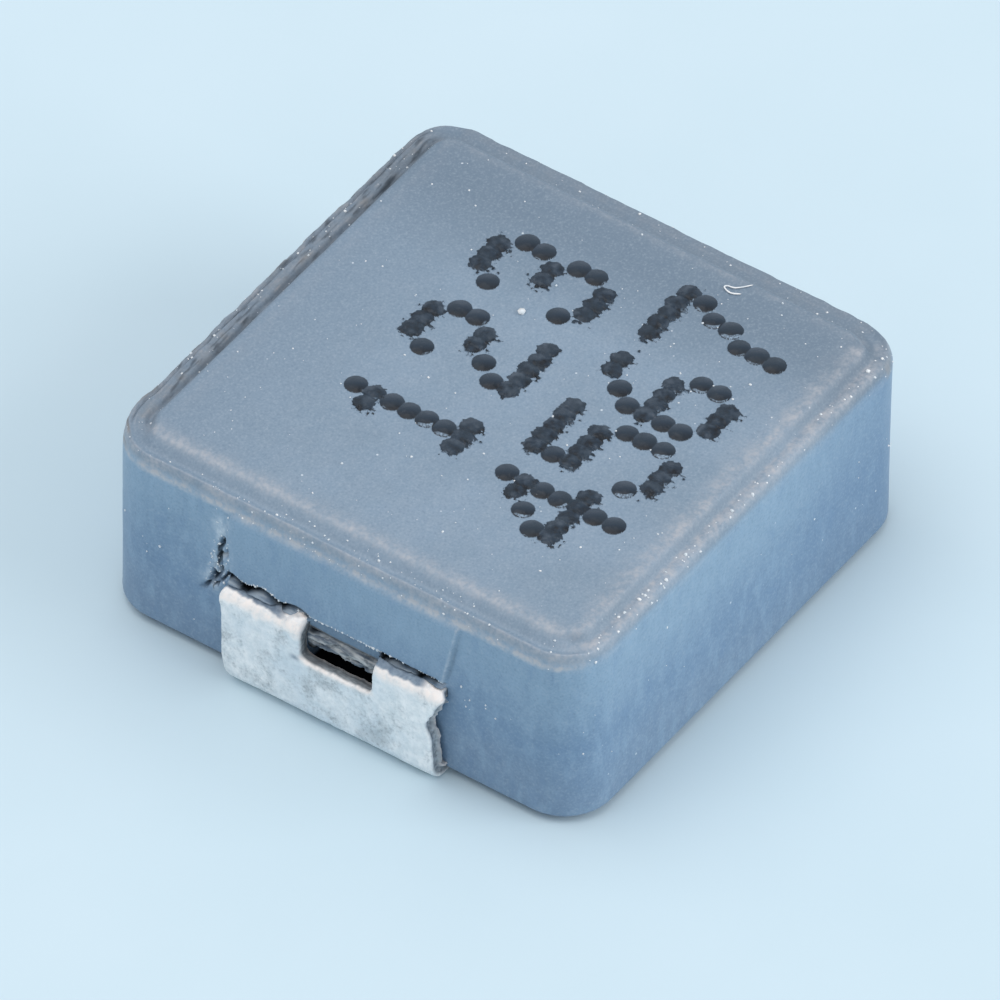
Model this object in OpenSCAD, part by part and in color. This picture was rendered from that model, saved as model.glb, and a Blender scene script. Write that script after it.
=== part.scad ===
// Shielded surface-mount power inductor, in millimetres.
// A coil of round enamelled wire is pressed into a block of iron powder composite.
// A folded strip of tinned copper at each end joins the coil to the board.
// X runs from terminal to terminal, Z is up, and the board is the plane z = 0.

/* [Moulded body] */
// Length between the two end faces
body_l = 6.7; // [6.2:0.1:8]
// Width across the plain sides
body_w = 6.7; // [6.2:0.1:8]
// Height of the raised top face above the board
top_z = 2.77; // [2.7:0.01:3.4]
// Gap between the board and the underside
standoff = 0.1; // [0.05:0.01:0.14]
// Radius of the four upright corners
corner_r = 0.65; // [0.5:0.05:1]
// Width of the small slope round the underside
base_chamfer = 0.06; // [0.02:0.01:0.15]

/* [Top rim] */
// Drop from the raised top face to the top edge of the sides
rim_drop = 0.27; // [0.2:0.01:0.3]
// Width of the whole rim, from the sides to the raised top face
rim_w = 0.35; // [0.3:0.01:0.45]
// Width of the outer slope of the rim
rim_slope_w = 0.12; // [0.05:0.01:0.15]
// Height of the outer slope of the rim
rim_slope_h = 0.15; // [0.05:0.01:0.18]
// Width of the inner slope, which climbs to the raised top face
step_slope_w = 0.1; // [0.05:0.01:0.12]

/* [End panels] */
// Width of the raised panel above each terminal
panel_w = 3.1; // [2.6:0.05:3.6]
// How far the panel stands out of the end face
panel_proud = 0.05; // [0.02:0.01:0.08]
// Height of bare body between the terminal and the panel above it
panel_lip = 0.04; // [0.02:0.01:0.1]

/* [Terminals] */
// Thickness of the tinned strip
strip_t = 0.18; // [0.15:0.01:0.2]
// Width of the strip
strip_w = 3; // [2.2:0.05:3.4]
// Height of the strip's upper face where it leaves the body
lead_z = 1.42; // [1.38:0.01:1.5]
// Gap between the end face and the back of the strip
face_gap = 0.06; // [0.02:0.01:0.1]
// Inside radius of the two folds
fold_r = 0.04; // [0.03:0.01:0.06]
// Length of the foot under the body, from the strip's outer face
foot_l = 1.6; // [1:0.1:2]
// Width of the window in the upper fold
window_w = 1; // [0.6:0.05:1.4]
// Distance of the window from the middle of the strip
window_shift = 0.1; // [0:0.05:0.3]
// Height of the window's lower edge above the board
window_z = 0.92; // [0.5:0.02:1]
// Room round the strip where the body holds it
strip_clear = 0.01; // [0.005:0.005:0.03]

/* [Coil] */
// Diameter of the enamelled wire
wire_d = 0.29; // [0.2:0.01:0.3]
// Air between neighbouring turns
turn_gap = 0.04; // [0.04:0.005:0.06]
// Radius of the open middle of the coil
coil_in_r = 1.25; // [1:0.05:1.3]
// Room between the coil and the pocket that holds it
pocket_clear = 0.03; // [0.01:0.005:0.05]
// Body left between the coil's pocket and the inner end of a strip
weld_wall = 0.15; // [0.1:0.01:0.2]
// Length of wire end that lies on a strip
weld_l = 0.35; // [0.2:0.05:0.4]
// Direction from the axis in which the wire leaves the coil, in degrees
exit_angle = -50; // [-60:5:-45]

/* [Ink marking] */
// Diameter of one dot of ink
dot_d = 0.27; // [0.2:0.01:0.3]
// Thickness of the ink
dot_t = 0.03; // [0.01:0.01:0.05]
// Distance between neighbouring dots along a line of figures
dot_step_x = 0.194; // [0.18:0.002:0.22]
// Distance between neighbouring dots across a line of figures
dot_step_y = 0.246; // [0.2:0.002:0.26]
// Distance between figures in the upper line
upper_step = 1.33; // [1.1:0.01:1.4]
// Distance between figures in the lower line
lower_step = 1.14; // [1.1:0.01:1.2]
// Distance between the middles of the two lines
line_step = 2.26; // [1.9:0.02:2.4]
// Middle of the marking along X
mark_x = 0.26; // [-0.3:0.02:0.3]
// Middle of the marking along Y
mark_y = -0.48; // [-0.6:0.02:0.6]

/* [Hidden] */
$fn = 48;
eps = 0.01;

end_x = body_l / 2;
edge_z = top_z - rim_drop;
ledge_z = edge_z + rim_slope_h;

// Terminal strip
face_x = end_x + face_gap + strip_t;
fold_out_r = fold_r + strip_t;
strip_mid_z = lead_z - strip_t / 2;

// Coil: layers of even pitch, wound outwards from the middle of the wire. Each half ends a
// whole number of turns and the exit angle on from the middle, wherever its layers end
turn_pitch = wire_d + turn_gap;
inner_half = 2.5;
layer_run = 2;
layer_shift = 0.5;
layers = 4;
whole_turns = round(inner_half + (layers - 1) * (layer_run + layer_shift) - 1);
wire_sides = 8;
rings_per_turn = 20;
first_r = coil_in_r + wire_d / 2;
last_r = first_r + (layers - 1) * turn_pitch;
coil_out_r = last_r + wire_d / 2;
coil_half_h = inner_half * turn_pitch + wire_d / 2;
half_turns = whole_turns + (exit_angle + 270) / 360;
tab_x = coil_out_r + pocket_clear + weld_wall;
weld_x = tab_x + weld_l;
weld_z = strip_t / 2 + wire_d / 2;

// Figures as rows of dots, from the top row down
FIGURES = [
    ["..#..", ".##..", "..#..", "..#..", "..#..", "..#..", ".###."],
    [".###.", "#...#", "....#", "..##.", ".#...", "#....", "#####"],
    [".###.", "#...#", "....#", "..##.", "....#", "#...#", ".###."],
    ["...#.", "..##.", ".#.#.", "#..#.", "#####", "...#.", "...#."],
    ["#####", "#....", "####.", "....#", "....#", "#...#", ".###."],
    ["..##.", ".#...", "#....", "####.", "#...#", "#...#", ".###."],
    ["#####", "....#", "...#.", "...#.", "..#..", "..#..", "..#.."]
];
upper_line = [1, 2, 3];
lower_line = [4, 5, 6, 7];

// Block with rounded upright corners that narrows by its insets from bottom to top
module rounded_frustum(l, w, r, inset_low, inset_high, h) {
    for (x = [-1, 1], y = [-1, 1])
        translate([x * (l / 2 - r), y * (w / 2 - r), 0])
            cylinder(h = h, r1 = r - inset_low, r2 = r - inset_high);
    rotate([90, 0, 90]) sloped_bar(w, l - 2 * r, inset_low, inset_high, h);
    rotate([90, 0, 0]) sloped_bar(l, w - 2 * r, inset_low, inset_high, h);
}

// Bar of trapezoid section, lying across the middle of its length
module sloped_bar(across, along, inset_low, inset_high, h) {
    low = across / 2 - inset_low;
    high = across / 2 - inset_high;
    linear_extrude(along, center = true)
        polygon([[-low, 0], [low, 0], [high, h], [-high, h]]);
}

// Outside of the pressed block: base slope, sides, rim and raised top
module block() {
    side_z = standoff + base_chamfer;
    translate([0, 0, standoff])
        rounded_frustum(body_l, body_w, corner_r, base_chamfer, 0, base_chamfer);
    translate([0, 0, side_z])
        rounded_frustum(body_l, body_w, corner_r, 0, 0, edge_z - side_z);
    translate([0, 0, edge_z])
        rounded_frustum(body_l, body_w, corner_r, 0, rim_slope_w, rim_slope_h);
    translate([0, 0, ledge_z])
        rounded_frustum(body_l, body_w, corner_r, rim_w - step_slope_w, rim_w, top_z - ledge_z);
}

// Raised panel above each terminal, up to the edge of the rim
module end_panels() {
    panel_z = lead_z + panel_lip;
    for (side = [-1, 1])
        translate([side * end_x - panel_proud, -panel_w / 2, panel_z])
            cube([2 * panel_proud, panel_w, edge_z - panel_z]);
}

// Ring-shaped pocket that the winding fills
module coil_pocket() {
    h = 2 * (coil_half_h + pocket_clear);
    translate([0, 0, strip_mid_z]) difference() {
        cylinder(h = h, r = coil_out_r + pocket_clear, center = true);
        cylinder(h = h + 2 * eps, r = coil_in_r - pocket_clear, center = true);
    }
}

// Channel that one wire end runs through, from the winding to the strip
module lead_channel() {
    start = wire_point(half_turns);
    tip = lead_point(1);
    run = tip - start;
    reach = norm(run) + pocket_clear;
    translate([0, 0, strip_mid_z] + start)
        rotate([0, acos(run.z / norm(run)), atan2(run.y, run.x)])
            cylinder(h = reach, r = wire_d / 2 + pocket_clear);
}

// Space that a strip takes out of the body: its slot in the end face and its bed underneath
module strip_seat() {
    slot_w = strip_w + 2 * strip_clear;
    slot_h = strip_t + 2 * strip_clear;
    translate([tab_x - strip_clear, -slot_w / 2, lead_z - strip_t - strip_clear])
        cube([end_x - tab_x + 2 * strip_clear + panel_proud, slot_w, slot_h]);
    translate([face_x - foot_l - strip_clear, -slot_w / 2, 0])
        cube([foot_l, slot_w, strip_t + strip_clear]);
}

module moulded_body() {
    color([0.47, 0.55, 0.63]) difference() {
        union() {
            block();
            end_panels();
        }
        coil_pocket();
        lead_channel();
        turned_end_to_end() lead_channel();
        strip_seat();
        rotate([0, 0, 180]) strip_seat();
    }
}

// The second wire end is the first one turned over about the Y axis, at the strips' height
module turned_end_to_end() {
    translate([0, 0, strip_mid_z]) rotate([0, 180, 0])
        translate([0, 0, -strip_mid_z]) children();
}

// Quarter ring of the strip, bent about the origin, in the quadrant x > 0, y > 0
module fold() {
    difference() {
        intersection() {
            circle(r = fold_out_r);
            square(fold_out_r);
        }
        circle(r = fold_r);
    }
}

// Side view of one strip: tab in the body, upper fold, face, lower fold and foot
module strip_profile() {
    bend_x = face_x - fold_out_r;
    translate([tab_x, lead_z - strip_t]) square([bend_x - tab_x, strip_t]);
    translate([bend_x, lead_z - fold_out_r]) fold();
    translate([face_x - strip_t, fold_out_r]) square([strip_t, lead_z - 2 * fold_out_r]);
    translate([bend_x, fold_out_r]) mirror([0, 1]) fold();
    translate([face_x - foot_l, 0]) square([bend_x - face_x + foot_l, strip_t]);
}

// One folded strip at the +X end, with the window open from its face up to the end face
module terminal() {
    color([0.8, 0.83, 0.85]) difference() {
        rotate([90, 0, 0]) linear_extrude(strip_w, center = true) strip_profile();
        translate([end_x, window_shift - window_w / 2, window_z])
            cube([face_x - end_x + eps, window_w, lead_z - window_z + eps]);
    }
}

module left_terminal() { rotate([0, 0, 180]) terminal(); }

module right_terminal() { terminal(); }

// Height and radius of the wire, n turns from its middle: the first layer climbs from the
// middle, and each later layer shifts outwards at an edge and then runs the other way
function layer_no(n) = floor((n - inner_half) / (layer_run + layer_shift));
function into_layer(n) = n - inner_half - layer_no(n) * (layer_run + layer_shift);
function run_part(n) = max(into_layer(n) - layer_shift, 0);
function wire_z(n) = turn_pitch * (
    n <= inner_half ? n
    : layer_no(n) % 2 == 0 ? inner_half - run_part(n)
    : inner_half - layer_run + run_part(n));
function wire_r(n) = first_r + turn_pitch * (
    n <= inner_half ? 0
    : layer_no(n) + min(into_layer(n) / layer_shift, 1));

// A point on one half of the wire, about the middle of the coil
function wire_point(n) =
    let (a = 90 + 360 * n, r = wire_r(n)) [r * cos(a), r * sin(a), wire_z(n)];

// A point on the straight end of the wire, which leaves the coil along its tangent: 0 to 1
function lead_point(s) =
    let (
        start = wire_point(half_turns),
        dir = [-sin(exit_angle), cos(exit_angle)],
        reach = (weld_x - start.x) / dir.x,
        z = start.z + (weld_z - start.z) * min(s / 0.6, 1)
    ) [start.x + s * reach * dir.x, start.y + s * reach * dir.y, z];

function turned_over(points) =
    [for (i = [len(points) - 1:-1:0]) [-points[i].x, points[i].y, -points[i].z]];

// Sections of a tube along a path, each square to the path
function tube_points(path, r, sides) = [
    for (i = [0:len(path) - 1])
        let (
            before = path[max(i - 1, 0)],
            after = path[min(i + 1, len(path) - 1)],
            along = (after - before) / norm(after - before),
            flat = cross(along, [0, 0, 1]),
            side = flat / norm(flat),
            up = cross(side, along)
        )
        for (k = [0:sides - 1])
            path[i] + r * (cos(360 * k / sides) * side + sin(360 * k / sides) * up)
];

function tube_faces(rings, sides) = concat(
    [[for (k = [sides - 1:-1:0]) k]],
    [for (i = [0:rings - 2], k = [0:sides - 1], half = [0, 1])
        let (a = i * sides + k, b = i * sides + (k + 1) % sides)
        half == 0 ? [a, b + sides, a + sides] : [a, b, b + sides]],
    [[for (k = [0:sides - 1]) (rings - 1) * sides + k]]
);

module coil() {
    steps = floor(half_turns * rings_per_turn);
    half_path = concat(
        [for (i = [1:steps]) wire_point(i * half_turns / steps)],
        [for (s = [0.15, 0.3, 0.6, 1]) lead_point(s)]
    );
    path = concat(turned_over(half_path), [wire_point(0)], half_path);
    color([0.72, 0.38, 0.18]) translate([0, 0, strip_mid_z])
        polyhedron(tube_points(path, wire_d / 2, wire_sides), tube_faces(len(path), wire_sides));
}

// One figure drawn in dots about its own middle
module figure(rows) {
    for (row = [0:6], col = [0:4])
        if (rows[row][col] == "#")
            translate([(col - 2) * dot_step_x, (3 - row) * dot_step_y])
                circle(d = dot_d, $fn = 24);
}

module figure_line(numbers, step) {
    for (i = [0:len(numbers) - 1])
        translate([(i - (len(numbers) - 1) / 2) * step, 0])
            figure(FIGURES[numbers[i] - 1]);
}

module ink_marking() {
    color([0.17, 0.19, 0.21]) translate([mark_x, mark_y, top_z]) linear_extrude(dot_t) {
        translate([0, line_step / 2]) figure_line(upper_line, upper_step);
        translate([0, -line_step / 2]) figure_line(lower_line, lower_step);
    }
}

moulded_body();
left_terminal();
right_terminal();
coil();
ink_marking();
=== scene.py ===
"""A shielded surface-mount inductor dressed for its render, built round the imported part.

Shapes are worked out in millimetres in the part's own frame, and turned to metres as each
mesh is made. X runs from terminal to terminal, Z is up and the board plane is z = 0.
"""

from math import radians

import bmesh
import bpy
import numpy as np
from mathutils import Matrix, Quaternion, Vector


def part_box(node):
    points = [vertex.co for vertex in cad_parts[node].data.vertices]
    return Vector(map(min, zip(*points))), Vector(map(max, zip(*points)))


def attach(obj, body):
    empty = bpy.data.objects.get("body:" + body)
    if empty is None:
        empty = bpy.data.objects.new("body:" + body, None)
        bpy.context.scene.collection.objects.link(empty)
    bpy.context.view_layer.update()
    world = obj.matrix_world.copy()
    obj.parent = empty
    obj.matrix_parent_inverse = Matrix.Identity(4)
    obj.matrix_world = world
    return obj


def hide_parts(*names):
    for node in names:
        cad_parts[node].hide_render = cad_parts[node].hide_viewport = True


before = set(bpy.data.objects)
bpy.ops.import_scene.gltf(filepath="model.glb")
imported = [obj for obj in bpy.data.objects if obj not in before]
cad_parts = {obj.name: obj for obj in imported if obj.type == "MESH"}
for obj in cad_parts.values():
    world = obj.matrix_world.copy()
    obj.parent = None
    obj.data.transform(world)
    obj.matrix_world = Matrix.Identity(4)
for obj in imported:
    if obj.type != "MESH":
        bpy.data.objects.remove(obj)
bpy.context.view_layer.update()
MM = 0.001


# ---------------------------------------------------------------- sizes, in millimetres


def node_box(name):
    """Lowest and highest corners of a CAD node, in millimetres."""
    low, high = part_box(name)
    return np.array(low) / MM, np.array(high) / MM


body_low, body_high = node_box("moulded_body")
strip_low, strip_high = node_box("left_terminal")
ink_low, ink_high = node_box("ink_marking")

PANEL_PROUD = 0.05
BODY_HALF_X = body_high[0] - PANEL_PROUD
BODY_HALF_Y = body_high[1]
TOP_Z = body_high[2]
BASE_Z = body_low[2]
CORNER_R = 0.65
BASE_ROUND = 0.06
RIM_DROP = 0.27
EDGE_Z = TOP_Z - RIM_DROP

STRIP_T = 0.18
FOLD_OUT_R = 0.22
TAB_X = 2.705
FACE_X = -strip_low[0]
LEAD_Z = strip_high[2]
FOOT_END_X = -strip_high[0]
STRIP_HALF_W = strip_high[1]
WINDOW_W = 1.0
WINDOW_MID_Y = -0.1
WINDOW_LOW_Y, WINDOW_HIGH_Y = WINDOW_MID_Y - WINDOW_W / 2, WINDOW_MID_Y + WINDOW_W / 2
WINDOW_CORNER_R = 0.1
WINDOW_Z = 0.92
PANEL_Z = 1.46
PANEL_HALF_W = 1.55
SPLIT_Z = 1.29
HOLE_TOP_Z = 1.08

COIL_IN_R = 1.25
WELD_WALL = 0.15

DOT_R = 0.148
DOT_STEP_X = 0.194
DOT_STEP_Y = 0.246
UPPER_STEP = 1.33
LOWER_STEP = 1.14
INK_T = ink_high[2] - ink_low[2]


# ---------------------------------------------------------------- numbers and noise


def smooth(low, high, value):
    """Soft step: 0 below low, 1 above high, and 3t^2 - 2t^3 of the way between."""
    t = np.clip((value - low) / (high - low), 0, 1)
    return t * t * (3 - 2 * t)


def bump(value, middle, width):
    """Soft bell of height 1 about the middle: exp(-(distance / width)^2)."""
    return np.exp(-(((value - middle) / width) ** 2))


def between(value, low, start, end, high):
    """Soft plateau: 0 up to low, 1 from start to end, and 0 again from high on."""
    return smooth(low, start, value) * (1 - smooth(end, high, value))


def lattice(i, j, seed):
    """Fixed random value in 0..1 at whole-number points: fraction of a large sine."""
    wave = np.sin(i * 127.1 + j * 311.7 + seed * 74.7) * 43758.5453
    return wave - np.floor(wave)


def noise(x, y, seed):
    """Value noise in -1..1: the four lattice values round a point, blended by soft steps."""
    i, j = np.floor(x), np.floor(y)
    u, v = smooth(0, 1, x - i), smooth(0, 1, y - j)
    low = lattice(i, j, seed) * (1 - u) + lattice(i + 1, j, seed) * u
    high = lattice(i, j + 1, seed) * (1 - u) + lattice(i + 1, j + 1, seed) * u
    return 2 * (low * (1 - v) + high * v) - 1


def rough(x, y, grain, seed, octaves=3):
    """Sum of value noises: each is half as high and half as wide as the one before."""
    total = 0
    for k in range(octaves):
        total = total + noise(x * 2**k / grain, y * 2**k / grain, seed + k) / 2**k
    return total / 1.5


# ---------------------------------------------------------------- meshes


def grid_quads(rows, columns, closed):
    """Four corners of every cell of a grid of rows x columns points, counted row by row."""
    last = columns if closed else columns - 1
    i, j = np.meshgrid(np.arange(rows - 1), np.arange(last), indexing="ij")
    right = (j + 1) % columns
    cells = [i * columns + j, i * columns + right, (i + 1) * columns + right, (i + 1) * columns + j]
    return np.stack(cells, -1).reshape(-1, 4)


def add_piece(name, points, faces, material):
    """Mesh piece from points in millimetres and faces, riding on the part's one body."""
    mesh = bpy.data.meshes.new(name)
    mesh.from_pydata((np.asarray(points) * MM).tolist(), [], [list(map(int, f)) for f in faces])
    mesh.materials.append(material)
    mesh.polygons.foreach_set("use_smooth", np.ones(len(mesh.polygons), bool))
    mesh.update()
    piece = bpy.data.objects.new(name, mesh)
    bpy.context.scene.collection.objects.link(piece)
    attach(piece, "root")
    return piece


def paint(piece, name, values):
    """Stores one number for every vertex, which a material reads by its name."""
    layer = piece.data.attributes.new(name, "FLOAT", "POINT")
    layer.data.foreach_set("value", np.asarray(values, np.float32))


def surface_points(piece):
    """Places of a piece's vertices, in millimetres."""
    flat = np.empty(len(piece.data.vertices) * 3, np.float32)
    piece.data.vertices.foreach_get("co", flat)
    return flat.reshape(-1, 3) / MM


def rounded_path(distance, lengths, corner_points, angles, radius):
    """Point and outward normal at a distance along straights joined by quarter turns.

    On a straight the centre of the turning circle slides and the normal stays; on a quarter
    turn the centre stays and the normal swings. The point is the centre plus radius x normal.
    """
    at = np.concatenate([[0], np.cumsum(lengths)])
    centre = [np.interp(distance, at, [p[k] for p in corner_points]) for k in (0, 1)]
    angle = np.radians(np.interp(distance, at, angles))
    normal = np.stack([np.cos(angle), np.sin(angle)], -1)
    return np.stack(centre, -1) + radius * normal, normal


def evenly(stretches):
    """Distances along a path: each stretch is (end, spacing), and is cut into even steps."""
    start, parts = 0.0, []
    for end, spacing in stretches:
        count = max(int(round((end - start) / spacing)), 1)
        parts.append(np.linspace(start, end, count, endpoint=False))
        start = end
    return np.concatenate(parts + [[start]])


# ---------------------------------------------------------------- pressed block


def on_side(amount):
    """How far a surface belongs to one side, from the part of its normal that faces there."""
    return smooth(0.72, 0.99, amount)


def rim_height(inset, nx, ny):
    """Height of the rim over its outer edge.

    A quarter sine climbs the outer slope to a crest, and a soft step climbs from there to the
    raised top face. The crest is a broad round on the -Y side and a thin one with a flat
    behind it elsewhere. The step is a long slope on the -X side, and it stands further in on
    the +X and +Y sides.
    """
    s = inset / (1 + 0.25 * smooth(0.2, 0.9, np.maximum(nx, ny)))
    broad = 0.57 * np.sin(np.radians(90) * np.clip(s / 0.10, 0, 1)) + 0.04 * bump(s, 0.15, 0.05)
    broad = broad + 0.43 * smooth(0.205, 0.34, s)
    thin = 0.55 * np.sin(np.radians(90) * np.clip(s / 0.06, 0, 1)) - 0.05 * bump(s, 0.13, 0.05)
    thin = thin + 0.04 * bump(s, 0.055, 0.02)
    thin = thin + 0.45 * smooth(0.235 - 0.12 * on_side(-nx), 0.345, s)
    share = on_side(-ny)
    return RIM_DROP * (broad * share + thin * (1 - share))


def torn_rim(along, inset):
    """Height that torn moulding flash adds to the rim of the +Y side: a ridge on the edge, a
    fine groove, a second low ridge and a broad groove before the top, all wandering."""
    wander = 0.75 + 0.35 * rough(along, 0, 0.9, 11)
    ragged = 1 + 0.22 * rough(along, inset * 2, 0.16, 12) + 0.1 * rough(along, inset * 6, 0.05, 13)
    ridges = 0.085 * bump(inset, 0.015, 0.04) * ragged + 0.022 * bump(inset, 0.13, 0.03) * wander
    fine = 0.035 * bump(inset, 0.078 + 0.01 * rough(along, 0, 0.4, 14), 0.016)
    broad = 0.055 * bump(inset, 0.30 + 0.02 * rough(along, 0, 0.6, 15), 0.05)
    return ridges * wander - fine - broad * wander


def panel_right_edge(z):
    """The panel's clean -Y edge, which leans outwards as it climbs."""
    return -PANEL_HALF_W + 0.09 - 0.2 * (z - PANEL_Z)


def crack_z(y):
    """Height of the crack over the strip: two humps over the +Y shoulder, where it drops past
    the strip's corner, and low over the -Y shoulder; finely jagged all along."""
    humps = 0.028 * np.cos(2 * np.pi * (y - 1.03) / 0.47) - 0.17 * smooth(1.50, 1.66, y)
    jagged = 0.014 * rough(y, 0, 0.14, 31)
    return LEAD_Z + 0.052 + np.where(y > 0, humps, -0.022) + jagged


def panel_foot(y, worn):
    """Height of the panel's lower edge, straight unless the end is worn."""
    over_crack = smooth(0.55, 0.65, y) * np.maximum(crack_z(y) + 0.036 - PANEL_Z, -0.04)
    return PANEL_Z + over_crack * worn


def panel_mask(y, z, worn):
    """1 on the raised panel over a terminal and 0 off it: ragged on its +Y edge and at its
    foot, which follows the crack over the +Y shoulder."""
    left = PANEL_HALF_W - 0.01 + 0.04 * rough(z, 0, 0.25, 21)
    right = panel_right_edge(z)
    across = between(y, right - 0.035, right, left - 0.03, left)
    foot = panel_foot(y, worn)
    return across * between(z, foot - 0.012, foot + 0.012, 2.44, 2.5)


def over_window(y):
    """1 behind the terminal's window and 0 behind its shoulders."""
    low, high = WINDOW_LOW_Y, WINDOW_HIGH_Y
    return between(y, low - 0.03, low + 0.03, high - 0.03, high + 0.03)


def over_strip(y):
    """1 across the width of the terminal and 0 beside it."""
    half = STRIP_HALF_W - 0.02
    return between(y, -half - 0.04, -half, half, half + 0.04)


def crack_share(y, z, width):
    """How deep each point lies in the crack over the shoulders, with one short fork."""
    reach = between(y, -1.42, -1.36, 1.62, 1.66) * (1 - over_window(y))
    opened = 0.45 + 0.55 * smooth(-0.5, 0.0, rough(y, 0, 0.3, 29))
    fork = 0.7 * bump(z, LEAD_Z + 0.035 - 0.16 * (y - 1.27), 0.009) * bump(y, 1.27, 0.06)
    return np.clip(bump(z, crack_z(y), width) * opened + fork, 0, 1) * reach


def torn_layers(y, z):
    """Depth of the torn composite behind the window: thin layers drawn out along Y, that step
    in and out and sag together, split by a few fine cracks."""
    sagging = z + 0.03 * rough(y, 0, 0.3, 26)
    layers = rough(y * 0.14, sagging, 0.036, 33, 2)
    cracks = bump(rough(y * 0.2, sagging, 0.055, 34, 2), 0.0, 0.09)
    return 0.08 + 0.04 * layers - 0.05 * cracks + 0.013 * rough(y, z, 0.045, 39)


def split_z(y):
    """Height of the dark split under the smooth shelf behind the window."""
    return SPLIT_Z + 0.018 * rough(y, 0, 0.3, 28) + 0.006 * rough(y, 0, 0.07, 27)


def pit_line(z):
    """Where the line of pits beside the panel runs, further out as it falls."""
    return PANEL_HALF_W + 0.085 + 0.15 * smooth(1.75, 1.0, z) + 0.015 * rough(z, 0, 0.2, 36)


def pit_share(y, z):
    """How deep each point lies in the pits: a chain of curling cracks, which are the zero
    lines of a noise, with one upright slot at its top and a small hole at its foot."""
    along = between(z, 1.06, 1.16, 1.80, 1.88)
    veins = bump(rough(y, z * 0.62, 0.10, 37, 2), 0.02, 0.15)
    chain = veins * smooth(0.085, 0.05, abs(y - pit_line(z) + 0.01)) * along
    slot = bump(y, pit_line(z) - 0.02 * (z - 1.9) / 0.1, 0.021) * bump(z, 1.90, 0.075) * 1.2
    foot = bump(y, pit_line(z) + 0.075 - 0.5 * (z - 1.12), 0.024) * bump(z, 1.12, 0.07)
    return np.clip(np.maximum(chain, np.maximum(slot, foot)), 0, 1)


def end_relief(y, z, worn):
    """How far an end face stands out of its plane, with the damage round the terminal.

    Adds up a raised panel, a sloping lip of flash on the strip's shoulders, and torn layers
    and a hole behind the window. A worn end also has a crack over the shoulders, and pits
    beside the panel.
    """
    window, strip = over_window(y), over_strip(y)
    shoulders = strip * (1 - window)
    above = smooth(LEAD_Z - 0.015, panel_foot(y, worn), z)
    slope = smooth(LEAD_Z - 0.045, LEAD_Z - 0.022, z) * (1 - above)
    lip = (0.11 + 0.02 * rough(y, z, 0.15, 32)) * slope
    shelf = 0.03 * between(z, SPLIT_Z + 0.01, SPLIT_Z + 0.03, PANEL_Z - 0.02, PANEL_Z)
    split = 0.14 * bump(z, split_z(y), 0.016)
    layers = between(z, HOLE_TOP_Z - 0.06, HOLE_TOP_Z - 0.02, SPLIT_Z - 0.03, SPLIT_Z) * torn_layers(y, z)
    hole_top = z + 0.03 * rough(y, z, 0.14, 35) + 0.06 * smooth(0.0, 0.35, y)
    hole = 0.42 * smooth(0.78, 0.80, z) * (1 - smooth(HOLE_TOP_Z, HOLE_TOP_Z + 0.03, hole_top))
    beads = bump(y, pit_line(z), 0.10) * between(z, 1.05, 1.2, 2.1, 2.35)
    damage = (
        0.035 * beads * (0.4 + 0.6 * rough(y, z, 0.07, 38))
        - 0.16 * crack_share(y, z, 0.021)
        - 0.13 * pit_share(y, z)
    )
    made = PANEL_PROUD * panel_mask(y, z, worn) + lip * shoulders
    return made + (shelf - split + layers - hole) * window + damage * worn


def block_outline(distance):
    """Point and normal on the block's plan, a square with four round corners."""
    x, y = BODY_HALF_X - CORNER_R, BODY_HALF_Y - CORNER_R
    turn = np.pi * CORNER_R / 2
    lengths = [y, turn, 2 * x, turn, 2 * y, turn, 2 * x, turn, y]
    corners = [(x, y), (-x, y), (-x, -y), (x, -y)]
    centres = [(x, 0)] + [c for c in corners for _ in range(2)] + [(x, 0)]
    angles = [0, 0, 90, 90, 180, 180, 270, 270, 360, 360]
    return rounded_path(distance, lengths, centres, angles, CORNER_R)


def outline_steps():
    """Distances round the plan, fine at the two ends and along the torn rim."""
    x, y = BODY_HALF_X - CORNER_R, BODY_HALF_Y - CORNER_R
    turn = np.pi * CORNER_R / 2
    fine = 1.9
    side_one, end_two = y + turn, y + 2 * turn + 2 * x
    side_two, end_one = end_two + 2 * y + turn, end_two + 2 * y + 2 * turn + 2 * x
    return evenly([
        (fine, 0.07), (side_one, 0.07), (side_one + 2 * x, 0.04), (end_two + y - fine, 0.06),
        (end_two + y + fine, 0.0165), (side_two, 0.07), (side_two + 2 * x, 0.09),
        (end_one + y - fine, 0.07), (end_one + y, 0.07),
    ])[:-1]


def block_rows():
    """Inset, height and share of the full plan for each ring of the block, bottom to top."""
    under = np.array([0, 0.25, 0.5, 0.75, 0.92])
    over = np.array([0.97, 0.9, 0.75, 0.55, 0.3, 0])
    turn = np.radians(np.linspace(0, 90, 6))
    side_z = evenly([
        (0.60, 0.1), (0.93, 0.036), (1.43, 0.0095), (1.90, 0.020),
        (EDGE_Z - BASE_Z - BASE_ROUND, 0.06),
    ])[1:] + BASE_Z + BASE_ROUND
    rim = evenly([(0.02, 0.005), (0.12, 0.0125), (0.46, 0.017)])[1:]
    inset = np.concatenate([
        np.full(under.size, BASE_ROUND), BASE_ROUND * (1 - np.sin(turn)),
        np.zeros(side_z.size), rim, np.full(over.size, rim[-1]),
    ])
    z = np.concatenate([
        np.full(under.size, BASE_Z), BASE_Z + BASE_ROUND * (1 - np.cos(turn)),
        side_z, np.full(rim.size, EDGE_Z + 0.001), np.full(over.size, TOP_Z),
    ])
    share = np.concatenate([under, np.ones(z.size - under.size - over.size), over])
    return inset, z, share


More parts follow.
